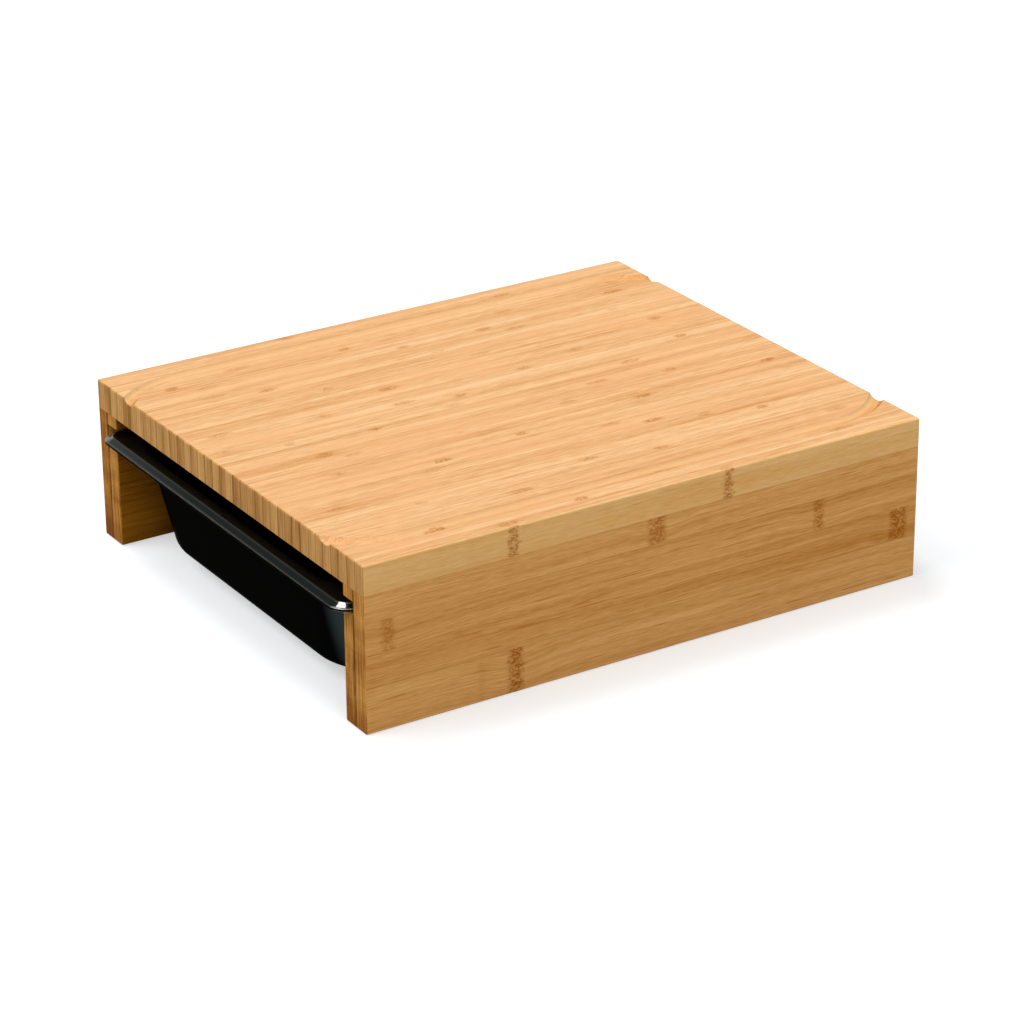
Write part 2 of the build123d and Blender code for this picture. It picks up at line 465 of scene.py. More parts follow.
@dataclass(frozen=True)
class PlateBamboo(BambooFinish):
    """The cutting plate: upright strips glued side by side, seen on edge on the cutting face.

    Attributes:
        dense_part: How far a strip's dense flank moves the tone in all.
        dense_end: What the dense flank and the other one add to the tone of the end grain.
        face: Colours of the cutting face and the underside.
        edge: Colours of the two long sides.
        end: Colours of the end grain.
        blush: Warmer tone that some stretches of the cutting face have.
        fleck: Colour of the nodes on the cutting face.
        groove_tone: Deeper, warmer tone along the bottom of the juice grooves.
        painted_wall_shade: Painted shade on the groove walls that face left and towards the front.
        painted_wall_light: Painted light on the groove walls that face right and towards the rear.
        painted_wall_light: Tone of the groove walls across from those.
        half_width: Half the plate's width.
        side_skin: How thick the layer is that has the long sides' colours.
        edge_round: Width of the rounded edge beside a long side.
        cutting_face: Height of the cutting face.
        groove_tone_depths: Between these depths that tone comes up.
        groove_front: Between these places in Y that tone gets stronger.
        groove_walls: Between these depths the painted shade and light on the groove walls fade out.
        smudge_reach: Half the length of the shortest and of the longest node on the cutting face.
        band_reach: Half the width of a node on the long sides.
        strips: Number of strips across.
        strip_knots: For each strip from the left, up to three distances from the front end.
    """

    grain: tuple[float, float, float, float] = (0.30, 1.2, 1.3, 1.5)
    thread_depth: float = 0.30
    end_mean: float = 0.58
    end_swings: Pair = (0.50, 1.7)
    streak_stretch: Pair = (1.7, 0.04)
    bundle_scale: float = 1.8
    dense_part: float = 0.20
    dense_end: Pair = (-0.29, 0.15)
    face: Tones = Tones((0.98, 0.615, 0.322), (0.68, 0.312, 0.100))
    edge: Tones = Tones((1.0, 0.635, 0.260), (0.80, 0.385, 0.095))
    end: Tones = Tones((0.83, 0.460, 0.160), (0.330, 0.124, 0.017))
    blush: Colour = (0.90, 0.485, 0.220)
    fleck: Colour = (0.50, 0.160, 0.003)
    groove_tone: Colour = (0.82, 0.385, 0.100)
    painted_wall_shade: Colour = (0.40, 0.155, 0.018)
    painted_wall_light: Colour = (1.00, 0.650, 0.325)
    half_width: float = 150.0
    side_skin: float = 0.4
    edge_round: float = 1.2
    cutting_face: float = 96.0
    groove_tone_depths: Pair = (0.3, 1.6)
    groove_front: Pair = (100.0, 160.0)
    groove_walls: Pair = (3.0, 5.0)
    smudge_reach: Pair = (3.4, 8.4)
    band_reach: float = 3.2
    strips: int = 37
    strip_knots: tuple[tuple[float, ...], ...] = (
        (120,), (262,), (300,), (74, 330), (28, 140, 249), (47, 322), (170, 224), (43, 242),
        (73, 184, 306), (61,), (101, 205), (318,), (131,), (19, 251), (80, 212), (127, 315),
        (11, 160), (46, 149, 268), (96,), (236,), (55, 280), (68, 205), (335,), (48, 246),
        (160,), (104, 302), (93, 208), (230,), (25, 259), (292,), (66, 171), (212,),
        (118, 325), (254,), (57, 196), (139, 310), (90, 226),
    )

    def knot_places(self, sketch: ShaderSketch, index: Plug) -> tuple[Socket, ...]:
        """Where the strip with a number has its nodes, as distances from the front end.

        Args:
            sketch: The material.
            index: The strip's number.

        Returns:
            Three distances. A strip that has fewer nodes gives 0 for the rest.
        """
        depth = 2 * self.half_depth
        half = (self.strips + 1) // 2
        found = []
        for start in (0, half):
            rows = self.strip_knots[start:start + half]
            share = sketch.math("DIVIDE", sketch.total(index, 0.5 - start), half)
            ramp = sketch.add("ValToRGB", {"Fac": share})
            stops = ramp.color_ramp
            stops.interpolation = "CONSTANT"
            while len(stops.elements) < len(rows):
                stops.elements.new(1.0)
            for number, row in enumerate(rows):
                padded = (*row, 0.0, 0.0)[:3]
                stops.elements[number].position = number / half
                stops.elements[number].color = (*(value / depth for value in padded), 1.0)
            found.append(ramp.outputs["Color"])
        right = sketch.math("GREATER_THAN", index, half - 0.5)
        chosen = sketch.blend(right, found[0], found[1])
        parts = sketch.add("SeparateColor", {0: chosen}).outputs
        return tuple(sketch.times(part, depth) for part in parts)

    def marks(self, sketch: ShaderSketch, across: Plug, index: Plug, at_side: Plug) -> Socket:
        """The nodes: small smudges on the cutting face, and bands across the two long sides.

        Args:
            sketch: The material.
            across: Share of the way across the strip.
            index: The strip's number.
            at_side: 1 on the long sides.

        Returns:
            How strongly a node shows, 0 to 1.
        """
        x, y, z = sketch.place
        warp = sketch.noise(sketch.vector(x, sketch.times(y, 0.5), z), 0.45, 2.0)
        from_front = sketch.total(y, self.half_depth, sketch.swing(warp, 8.0))
        on_top = sketch.inverse(at_side)
        strongest: Plug = 0.0
        for spot in self.knot_places(sketch, index):
            size, weight, aside = sketch.draws(spot)
            reach = sketch.blend_value(at_side, sketch.between(size, *self.smudge_reach), self.band_reach)
            along = sketch.math("DIVIDE", sketch.less(from_front, spot), reach)
            beside = sketch.times(sketch.less(across, sketch.between(aside, 0.35, 0.65)), 3.5)
            from_spot = sketch.total(sketch.times(along, along), sketch.times(beside, beside, on_top))
            body = sketch.ease(from_spot, 1.7, 0.0)
            shown = sketch.blend_value(at_side, sketch.between(weight, 0.30, 1.0), 0.9)
            listed = sketch.math("GREATER_THAN", spot, 2.0)
            strongest = sketch.most(strongest, sketch.times(body, shown, listed))
        smudge = sketch.between(self.dashes(sketch, 0.30, 0.42, 0.56), 0.25, 1.0)
        band = sketch.between(self.dashes(sketch, 0.50, 0.46, 0.55), 0.24, 1.0)
        return sketch.times(strongest, sketch.blend_value(at_side, smudge, band))

    def grooves(self, sketch: ShaderSketch, colour: Plug, level: Plug, fibres: Fibres) -> Socket:
        """The juice grooves: a deeper tone along the bottom, painted shade on the walls that face left and
        front, and painted light on those that face right and rear.

        Args:
            sketch: The material.
            colour: Colour of the cutting face.
            level: 1 on the cutting face and 0 on the ends and the long sides.
            fibres: The fibres.

        Returns:
            The colour with the grooves.
        """
        x, y, z = sketch.place
        inset = sketch.less(self.half_width - self.edge_round, sketch.absolute(x))
        inside = sketch.times(level, sketch.ease(inset, 0.0, 0.6))
        depth = sketch.less(self.cutting_face, z)
        groove_tone_share = sketch.times(
            inside,
            sketch.ease(depth, *self.groove_tone_depths),
            sketch.ease(z, self.underside + 2.0, self.underside + 4.0),
            sketch.ease(y, *self.groove_front, 0.14, 0.62),
            sketch.ease(fibres.fine, 0.35, 0.62, 0.7, 1.0),
        )
        colour = sketch.blend(groove_tone_share, colour, self.groove_tone)
        # Painted shade and painted light: groove walls that face left and front are darkened, and those that
        # face right and rear are lightened, by the way each wall faces.
        lean_x, lean_y, _ = sketch.split(sketch.add("TexCoord").outputs["Normal"])
        lean = sketch.total(lean_x, lean_y)
        walls = sketch.times(inside, sketch.ease(depth, *self.groove_walls, 1.0, 0.0))
        wall_light_share = sketch.times(walls, sketch.ease(lean, 0.15, 0.75, 0.0, 0.8))
        uneven = sketch.ease(fibres.coarse, 0.35, 0.6, 0.5, 0.85)
        wall_shade_share = sketch.times(walls, sketch.ease(lean, -0.25, -0.75), uneven)
        return sketch.blend(wall_shade_share, sketch.blend(wall_light_share, colour, self.painted_wall_light), self.painted_wall_shade)

    def material(self, name: str) -> bpy.types.Material:
        """Builds the material.

        Args:
            name: Its name.

        Returns:
            The material.
        """
        sketch = ShaderSketch(bpy.data.materials.new(name))
        x, y, _ = sketch.place
        pitch = 2 * self.half_width / self.strips
        sway = sketch.swing(sketch.noise_along(x, 0.06), 0.6)
        position = sketch.total(sketch.math("DIVIDE", sketch.total(x, self.half_width), pitch), sway)
        index = sketch.math("MINIMUM", sketch.math("FLOOR", position), self.strips - 1.0)
        across = sketch.math("FRACT", position)
        tint, flip, shift = sketch.draws(index)
        fibres = self.fibres(sketch, sketch.place, shift)
        flipped = sketch.math("GREATER_THAN", flip, 0.5)
        dense = sketch.blend_value(flipped, across, sketch.inverse(across))
        at_end = sketch.beyond(y, self.half_depth - self.end_skin)
        at_side = sketch.beyond(x, self.half_width - self.side_skin)

        long_tone = self.long_tone(sketch, sketch.blend_value(at_side, 0.56, 0.68), tint, fibres)
        long_tone = sketch.total(long_tone, sketch.swing(dense, self.dense_part))
        flank = sketch.between(sketch.math("POWER", dense, 0.5), *self.dense_end)
        end_tone = sketch.total(self.end_tone(sketch, tint, shift), flank)
        tone = sketch.clamped(sketch.blend_value(at_end, long_tone, end_tone))
        pale = sketch.blend(at_end, sketch.blend(at_side, self.face.pale, self.edge.pale), self.end.pale)
        deep = sketch.blend(at_end, sketch.blend(at_side, self.face.deep, self.edge.deep), self.end.deep)
        colour = sketch.blend(tone, deep, pale)
        level = sketch.times(sketch.inverse(at_end), sketch.inverse(at_side))
        stretch = sketch.vector(sketch.times(x, 0.05), sketch.times(y, 0.012), flip)
        warmth = sketch.ease(sketch.noise(stretch, 1.0, 3.0, 0.6), 0.44, 0.68, 0.0, 0.60)
        colour = sketch.blend(sketch.times(warmth, level), colour, self.blush)
        colour = self.grooves(sketch, colour, level, fibres)

        mark = sketch.times(self.marks(sketch, across, index, at_side), sketch.inverse(at_end))
        inked = sketch.blend(at_side, self.fleck, self.knot)
        colour = sketch.blend(sketch.times(mark, sketch.blend_value(at_side, 0.84, 0.80)), colour, inked)

        # Glue lines: thin and dark in the end grain, and barely there on the cutting face.
        edge_gap = sketch.math("MINIMUM", across, sketch.inverse(across))
        on_face = sketch.times(sketch.math("POWER", tint, 2.0), sketch.ease(fibres.coarse, 0.35, 0.6), 0.32)
        shown = sketch.blend_value(at_end, on_face, sketch.between(flip, 0.10, 0.85))
        lines = sketch.times(sketch.ease(edge_gap, 0.075, 0.01), shown)
        lines = sketch.most(lines, self.joint(sketch, fibres))
        return self.shade(sketch, sketch.blend(lines, colour, self.seam), fibres, mark)


@dataclass(frozen=True)
class LegBamboo(BambooFinish):
    """A ply of a leg: broad strips lying flat, one above another.

    Attributes:
        face: Colours of the broad faces.
        end: Colours of the end grain.
        glue_face: How far the glue line between the two plies is from the middle of the board.
        glue_line: Half the width of that line, and how far it fades out.
        seams: Heights of the joints between the strips.
        seam_line: Half the width of the line at one, and how far it fades out.
        knots: The nodes that show.
        parting: How far along the fibres part in full beside a node, and how far that fades out.
        wander: How far the fibres go up and down, away from the nodes and beside one.
        seed: Makes this ply's fibres its own.
    """

    face: Tones = Tones((0.90, 0.48, 0.168), (0.55, 0.223, 0.035))
    end: Tones = Tones((0.80, 0.385, 0.088), (0.25, 0.068, 0.001))
    glue_face: float = 139.5
    glue_line: Pair = (0.45, 1.00)
    seams: tuple[float, ...] = (26.0, 45.0, 63.5)
    seam_line: Pair = (0.10, 0.35)
    knots: tuple[Knot, ...] = ()
    parting: Pair = (4.0, 26.0)
    wander: Pair = (3.0, 7.0)
    seed: float = 0.0

    def marks(self, sketch: ShaderSketch) -> tuple[Plug, Plug]:
        """The nodes: bands of dashes across one strip each.

        Args:
            sketch: The material.

        Returns:
            How strongly a node shows, and how near one is, both 0 to 1.
        """
        _, y, z = sketch.place
        from_front = sketch.total(y, self.half_depth)
        warp = sketch.noise(sketch.vector(self.seed, 0.0, z), 0.30, 3.0, 0.6)
        bent = sketch.total(from_front, sketch.swing(warp, 8.0))
        limits = (-1.0, *self.seams, self.underside + 1.0)
        band: Plug = 0.0
        nearness: Plug = 0.0
        for knot in self.knots:
            low, high = limits[knot.strip:knot.strip + 2]
            inside = sketch.near(z, (low + high) / 2, (high - low) / 2 - 0.6, 0.6)
            core = sketch.near(bent, knot.along, knot.half_length - 2.5, 4.5)
            around = sketch.near(from_front, knot.along, *self.parting)
            band = sketch.most(band, sketch.times(core, inside, knot.strength))
            nearness = sketch.most(nearness, sketch.times(around, inside, knot.strength))
        dashes = self.dashes(sketch, 0.45, 0.44, 0.53)
        return sketch.times(band, sketch.between(dashes, 0.20, 1.0)), nearness

    def material(self, name: str) -> bpy.types.Material:
        """Builds the material.

        Args:
            name: Its name.

        Returns:
            The material.
        """
        sketch = ShaderSketch(bpy.data.materials.new(name))
        x, y, z = sketch.place
        index = sketch.total(*(sketch.math("GREATER_THAN", z, seam) for seam in self.seams), self.seed)
        tint, _, shift = sketch.draws(index)
        mark, nearness = self.marks(sketch)

        # Fibres lie level, and part round the nodes in long lens shapes.
        drift = sketch.vector(self.seed, sketch.times(y, 0.018), sketch.times(z, 0.05))
        swell = sketch.between(nearness, *self.wander)
        level = sketch.total(z, sketch.times(sketch.noise(drift, 1.0, 2.0), swell))
        fibres = self.fibres(sketch, (sketch.times(x, 0.3), y, level), shift)

        at_end = sketch.beyond(y, self.half_depth - self.end_skin)
        long_tone = self.long_tone(sketch, 0.57, tint, fibres)

        # The end grain is darker here and there, and towards the foot.
        stains = sketch.noise(sketch.vector(sketch.times(x, 0.3), self.seed, z), 0.11, 2.0)
        foot = sketch.times(sketch.ease(z, 24.0, 2.0), stains, -0.65)
        end_tone = sketch.total(self.end_tone(sketch, tint, self.seed), sketch.swing(stains, 0.9), foot)
        tone = sketch.clamped(sketch.blend_value(at_end, long_tone, end_tone))
        pale = sketch.blend(at_end, self.face.pale, self.end.pale)
        deep = sketch.blend(at_end, self.face.deep, self.end.deep)
        off_end = sketch.inverse(at_end)
        mark = sketch.times(mark, off_end)
        colour = sketch.blend(sketch.times(mark, 0.88), sketch.blend(tone, deep, pale), self.knot)

        # Glue lines: faint between the strips and under the plate, and dark between the two plies.
        lines = sketch.most(*(sketch.near(z, seam, *self.seam_line) for seam in self.seams))
        lines = sketch.times(lines, sketch.ease(fibres.broad, 0.35, 0.62), off_end, 0.30)
        patchy = sketch.noise(sketch.vector(self.seed, 0.0, z), 0.09, 2.0)
        glue = sketch.near(sketch.absolute(x), self.glue_face, *self.glue_line)
        glue = sketch.times(glue, at_end, sketch.ease(patchy, 0.35, 0.62, 0.45, 1.0))
        lines = sketch.most(lines, self.joint(sketch, fibres), glue)
        return self.shade(sketch, sketch.blend(lines, colour, self.seam), fibres, mark)


@dataclass(frozen=True)
class DowelWood:
    """Plain turned dowel, pale, with fibres along its length."""

    pale: Colour = (0.70, 0.46, 0.24)
    deep: Colour = (0.50, 0.29, 0.13)
    roughness: float = 0.7

    def material(self, name: str) -> bpy.types.Material:
        """Builds the material.

        Args:
            name: Its name.

        Returns:
            The material.
        """
        sketch = ShaderSketch(bpy.data.materials.new(name))
        x, y, z = sketch.place
        fibre = sketch.noise(sketch.vector(x, y, sketch.times(z, 0.06)), 2.5, 2.0)
        shader = sketch.add("BsdfPrincipled", {"Base Color": sketch.blend(fibre, self.deep, self.pale)})
        shader.inputs["Roughness"].default_value = self.roughness
        return sketch.finish(shader)


# ---------------------------------------------------------------- trays
class Coat(Enum):
    """The three surfaces of a tray, by the number of their material slot."""

    INSIDE = 0
    RIM = 1
    OUTSIDE = 2


@dataclass(frozen=True)
class TrayGloss:
    """Black moulded plastic.

    Attributes:
        colour: Its colour.
        roughness: Mean roughness.
        specular: Specular level of the shader.
        ripple: Height of the faint waves of the moulding.
        painted_edge_highlights: Heights of the lighter lines painted along the rim's edges as highlights,
            patchy like rubbed wear, and how strongly each is.
        highlight_line_width: Half the width of such a line, and how far it fades out.
        highlight_line_colour: Colour of those lines.
        painted_corner_highlight: Their colour at the rim's corners, a brighter painted highlight.
        corner_start: Where the rim's corners start, in X and in Y from the tray's centre.
        painted_bowl_highlight: Painted highlight: a faint lighter colour on the bowl's four upright corners.
        bowl_highlight_start: Where the bowl's corners start, in X and in Y from the tray's centre.
        bowl_highlight_fade: Between these distances past those starts, that painted highlight comes up.
        bowl_highlight_top: Between these heights it fades out.
        centre: Distance of the tray's centre from the middle of the board.
    """

    colour: Colour = (0.0018, 0.0020, 0.0016)
    roughness: float = 0.12
    specular: float = 0.3
    ripple: float = 0.01
    painted_edge_highlights: tuple[Pair, ...] = ()
    highlight_line_width: Pair = (0.08, 0.16)
    highlight_line_colour: Colour = (0.066, 0.060, 0.042)
    painted_corner_highlight: Colour = (0.62, 0.57, 0.48)
    corner_start: Pair = (126.0, 80.0)
    painted_bowl_highlight: Colour = (0.0018, 0.0020, 0.0016)
    bowl_highlight_start: Pair = (90.0, 45.0)
    bowl_highlight_fade: Pair = (0.5, 15.0)
    bowl_highlight_top: Pair = (65.0, 60.0)
    centre: float = TRAY_CENTRE

    def material(self, name: str) -> bpy.types.Material:
        """Builds the material.

        Args:
            name: Its name.

        Returns:
            The material.
        """
        sketch = ShaderSketch(bpy.data.materials.new(name))
        x, y, z = sketch.place
        where = sketch.vector(x, y, z)
        scuffs = sketch.noise(where, 0.35, 3.0, 0.6)
        colour = sketch.blend(scuffs, self.colour, tuple(1.5 * part for part in self.colour))
        across = sketch.absolute(x)
        along = sketch.absolute(sketch.less(sketch.absolute(y), self.centre))
        bowl_corner, rim_corner = (
            sketch.math("MINIMUM", sketch.less(across, start[0]), sketch.less(along, start[1]))
            for start in (self.bowl_highlight_start, self.corner_start)
        )
        # Painted highlight: a faint lighter colour on the bowl's four upright corners.
        bowl_highlight_share = sketch.times(sketch.ease(bowl_corner, *self.bowl_highlight_fade), sketch.ease(z, *self.bowl_highlight_top))
        colour = sketch.blend(bowl_highlight_share, colour, self.painted_bowl_highlight)
        # Painted highlights: lighter lines along the rim's edges, patchy like rubbed wear, and brightest at
        # the rim's corners.
        shown_line_colour = sketch.blend(sketch.ease(rim_corner, 0.0, 6.0), self.highlight_line_colour, self.painted_corner_highlight)
        patchy = sketch.ease(scuffs, 0.25, 0.6, 0.6, 1.0)
        for height, strength in self.painted_edge_highlights:
            painted_line_share = sketch.times(sketch.near(z, height, *self.highlight_line_width), patchy, strength)
            colour = sketch.blend(painted_line_share, colour, shown_line_colour)
        dull = sketch.between(scuffs, self.roughness - 0.03, self.roughness + 0.03)
        waves = sketch.noise(where, 0.05, 2.0)
        bump = sketch.add("Bump", {"Height": waves, "Strength": 0.2, "Distance": self.ripple * MM})
        plugs = {"Base Color": colour, "Roughness": dull, "Normal": bump.outputs[0]}
        shader = sketch.add("BsdfPrincipled", plugs)
        shader.inputs["Specular IOR Level"].default_value = self.specular
        return sketch.finish(shader)


@dataclass(frozen=True)
class Ring:
    """One level outline of the tray.

    Attributes:
        inset: How far it is drawn in from the rim's outer edge.
        radius: Its corner radius.
        height: Its height.
        coat: The surface that ends at it.
    """

    inset: float
    radius: float
    height: float
    coat: Coat


@dataclass
class Tray:
    """One tray: a sloping rim with a thin lip, and inside it a tapered bowl with rounded corners.

    Its section is laid out in insets from the rim's outer edge and drops below the rim's top.

    Attributes:
        end: The end of the board that it slides out of.
        centre: Distance of the tray's centre from the middle of the board.
        rim_height: From the rim's top down to its lower edge.
        lip_width: Width of the lip's lower edge.
        lip_radius: Radius of that edge.
        bead_inset: Where the bead on the lip ends and the sloping band starts.
        bead_sink: How far the bead's centre is below the lip's top.
        bead_rings: Rings between band and bead, by how far in from bead_inset and how far below the band.
        crest_inset: Where the band would reach the rim's top.
        crest_radius: Radius that rounds it off there.
        crest_flat: Width of the flat ring beside that round.
        wall_inset: Where the outside of the wall would reach the rim's top.
        wall_corner: Radius of the wall's corners at the rim's top.
        corner_growth: How much that radius grows with each millimetre of drop.
        wall_rings: Shares of the wall's slope at which it has a ring.
        depth: From the rim's top to the base's underside.
        base_radius: Outer radius between wall and base.
        base_flat: Width of the flat ring beside that round.
        shoulder_radius: Inner radius between flange and wall.
        shoulder_flat: Width of the flat ring beside that round.
        lip_fold: Width of the rings beside the fold behind the lip.
        flange_fold: Width of the rings beside the fold under the flange.
        corner_steps: Segments of a corner.
        arc_steps: Segments of an arc in the section.
        coat: The surface that the next rings belong to.
        rings: The outlines, from the middle of the inside to the middle of the underside.
    """

    end: End
    half_width: float = 138.0
    half_length: float = 92.3
    centre: float = TRAY_CENTRE
    rim_top: float = 68.9
    rim_height: float = 3.6
    lip_height: float = 1.2
    lip_width: float = 2.2
    lip_radius: float = 0.45
    bead_inset: float = 0.95
    bead_radius: float = 0.5
    bead_sink: float = 0.06
    bead_rings: tuple[Pair, ...] = ((0.35, 0.0), (0.10, 0.0), (-0.06, 0.12))
    crest_inset: float = 4.7
    crest_radius: float = 1.6
    crest_flat: float = 0.3
    rim_corner: float = 12.5
    thickness: float = 2.0
    wall_inset: float = 11.4
    wall_draft: float = math.radians(9.6)
    wall_corner: float = 36.0
    corner_growth: float = 0.1
    wall_rings: tuple[float, ...] = (0.04, 0.5, 0.96)
    depth: float = 60.6
    base_radius: float = 9.0
    base_flat: float = 0.6
    shoulder_radius: float = 6.0
    shoulder_flat: float = 0.4
    lip_fold: float = 0.2
    flange_fold: float = 0.3
    corner_steps: int = 20
    arc_steps: int = 8
    finishes: dict[Coat, TrayGloss] = field(default_factory=lambda: {
        Coat.INSIDE: TrayGloss(roughness=0.14, specular=0.30),
        # The lighter lines listed here for the rim, and below for the outside, are painted highlights.
        Coat.RIM: TrayGloss((0.003, 0.0065, 0.006), 0.06, 1.0, 0.004, painted_edge_highlights=((66.74, 0.9), (68.6, 0.40))),
        # The outside's corner colour is a painted highlight.
        Coat.OUTSIDE: TrayGloss(
            roughness=0.22, specular=0.0002, painted_edge_highlights=((65.42, 1.0),), painted_bowl_highlight=(0.074, 0.100, 0.105),
        ),
    })
    coat: Coat = Coat.INSIDE
    rings: list[Ring] = field(default_factory=list)

    def lip_ring(self, inset: float, drop: float) -> None:
        """Adds a ring of the rim, which keeps the rim's rounded outline.

        Args:
            inset: How far in it is.
            drop: How far below the rim's top.
        """
        self.rings.append(Ring(inset, self.rim_corner - inset, self.rim_top - drop, self.coat))

    def bowl_ring(self, inset: float, drop: float, skin: float) -> None:
        """Adds a ring of the bowl, whose outline follows the wall's.

        Args:
            inset: How far in it is.
            drop: How far below the rim's top.
            skin: How far the surface lies inside the outer wall: 0, or the thickness.
        """
        wall = self.wall_inset + skin + math.tan(self.wall_draft) * drop
        corner = self.wall_corner - skin + self.corner_growth * drop
        self.rings.append(Ring(inset, corner + wall - inset, self.rim_top - drop, self.coat))

    def arc(self, centre: Pair, radius: float, start: float, stop: float) -> list[Pair]:
        """Points of an arc in the section, as insets and drops.

        Args:
            centre: Its centre, as an inset and a drop.
            radius: Its radius.
            start: First angle in degrees: 0 points inward, 90 up.
            stop: Last angle.

        Returns:
            The points, both ends included.
        """
        step = (stop - start) / self.arc_steps
        angles = [math.radians(start + step * number) for number in range(self.arc_steps + 1)]
        return [(centre[0] + radius * math.cos(a), centre[1] - radius * math.sin(a)) for a in angles]

    def lay_bowl_side(self, skin: float, shoulder: float) -> list[Pair]:
        """Section of one side of the wall, from the flange down to the flat of the base.

        Args:
            skin: 0 for the outside, or the thickness for the inside.
            shoulder: Radius between the flange and the wall.

        Returns:
            Insets and drops, from the flange down.
        """
        draft = math.degrees(self.wall_draft)
        slope, stretch = math.tan(self.wall_draft), 1 / math.cos(self.wall_draft)
        wall = self.wall_inset + skin
        # The flange's surface is the rim's top on the inside, and the flange's underside outside.
        level = self.thickness if skin == 0 else 0.0
        centre_drop = level + shoulder
        shoulder_centre = (wall + slope * centre_drop - shoulder * stretch, centre_drop)
        points = self.arc(shoulder_centre, shoulder, 90, draft)
        nose = self.base_radius - skin
        floor = self.depth - skin
        base_centre = (wall + slope * (floor - nose) + nose * stretch, floor - nose)
        base = self.arc(base_centre, nose, 180 + draft, 270)
        top_point, low_point = points[-1], base[0]
        for share in self.wall_rings:
            points.append(tuple(a + (b - a) * share for a, b in zip(top_point, low_point)))
        flat_start = base[-1]
        return points + base + [(flat_start[0] + self.base_flat, flat_start[1])]

    def lay_inside(self) -> None:
        """Lists the rings from the middle of the inside up to the flange."""
        self.coat = Coat.INSIDE
        inside = self.lay_bowl_side(self.thickness, self.shoulder_radius)
        for inset, drop in reversed(inside):
            self.bowl_ring(inset, drop, self.thickness)
        self.bowl_ring(inside[0][0] - self.shoulder_flat, 0.0, self.thickness)

    def lay_rim(self) -> None:
        """Lists the rings over the rim: the crest, the sloping band and the lip down to its lower edge."""
        slope_drop = self.rim_height - self.lip_height
        slope = math.degrees(math.atan2(slope_drop, self.crest_inset))
        crest_start = self.crest_inset + self.crest_radius * math.tan(math.radians(slope / 2))
        self.lip_ring(crest_start + self.crest_flat, 0.0)
        self.lip_ring(crest_start, 0.0)
        self.coat = Coat.RIM
        for inset, drop in self.arc((crest_start, self.crest_radius), self.crest_radius, 90, 90 + slope)[1:]:
            self.lip_ring(inset, drop)
        fall = slope_drop / self.crest_inset
        for offset, dip in self.bead_rings:
            inset = self.bead_inset + offset
            self.lip_ring(inset, slope_drop - inset * fall + dip)
        bead = (self.bead_radius, slope_drop + self.bead_sink)
        for inset, drop in self.arc(bead, self.bead_radius, 50, 140):
            self.lip_ring(inset, drop)
        self.coat = Coat.OUTSIDE
        below = self.arc(bead, self.bead_radius, 140, 180)[1:]
        edge_centre = (self.lip_radius, self.rim_height - self.lip_radius)
        for inset, drop in below + self.arc(edge_centre, self.lip_radius, 180, 270):
            self.lip_ring(inset, drop)

    def lay_outside(self) -> None:
        """Lists the rings under the rim and down the outside to the base's underside."""
        self.coat = Coat.OUTSIDE
        rise = (self.rim_height - self.thickness) / (self.crest_inset - self.lip_width)
        for step in (-self.lip_fold, 0.0, self.lip_fold):
            self.lip_ring(self.lip_width + step, self.rim_height - rise * max(step, 0.0))
        for step in (-self.flange_fold, 0.0, self.flange_fold):
            self.lip_ring(self.crest_inset + step, self.thickness - rise * min(step, 0.0))
        outside = self.lay_bowl_side(0.0, self.shoulder_radius - self.thickness)
        self.bowl_ring(outside[0][0] - self.shoulder_flat, self.thickness, 0.0)
        for inset, drop in outside:
            self.bowl_ring(inset, drop, 0.0)

    def add_ring(self, mesh: bmesh.types.BMesh, ring: Ring) -> list[bmesh.types.BMEdge]:
        """Adds a ring's outline: a rectangle with rounded corners.

        Args:
            mesh: Where it goes.
            ring: The outline.

        Returns:
            Its edges.
        """
        made = bmesh.ops.create_grid(mesh, x_segments=1, y_segments=1, size=1.0)
        corners = made["verts"]
        size = Vector((self.half_width - ring.inset, self.half_length - ring.inset, 1.0))
        bmesh.ops.scale(mesh, vec=size, verts=corners)
        bmesh.ops.translate(mesh, vec=Vector((0, 0, ring.height)), verts=corners)
        rounded = bmesh.ops.bevel(
            mesh, geom=corners, offset=ring.radius, offset_type="OFFSET", segments=self.corner_steps,
            profile=0.5, affect="VERTICES", material=-1, clamp_overlap=False,
        )
        face = next(face for vert in rounded["verts"] for face in vert.link_faces)
        edges = list(face.edges)
        bmesh.ops.delete(mesh, geom=[face], context="FACES_ONLY")
        return edges

    def build(self, name: str) -> bpy.types.Object:
        """Builds the tray's mesh.

        Args:
            name: The piece's name.

        Returns:
            The piece.
        """
        self.lay_inside()
        self.lay_rim()
        self.lay_outside()
        mesh = bmesh.new()
        loops = [self.add_ring(mesh, ring) for ring in self.rings]
        for number in range(1, len(loops)):
            strip = bmesh.ops.bridge_loops(mesh, edges=loops[number - 1] + loops[number])["faces"]
            for face in strip:
                face.material_index = self.rings[number].coat.value
        for loop, coat in ((loops[0], Coat.INSIDE), (loops[-1], Coat.OUTSIDE)):
            for face in bmesh.ops.contextual_create(mesh, geom=loop)["faces"]:
                face.material_index = coat.value
        bmesh.ops.recalc_face_normals(mesh, faces=mesh.faces)
        for face in mesh.faces:
            face.smooth = True
        place = Matrix.Translation((0, self.end.value * self.centre * MM, 0)) @ Matrix.Scale(MM, 4)
        bmesh.ops.transform(mesh, matrix=place, verts=mesh.verts)
        piece = add_mesh(name, mesh)
        for coat in Coat:
            piece.data.materials.append(self.finishes[coat].material(f"{name}_{coat.name.lower()}"))
        return piece


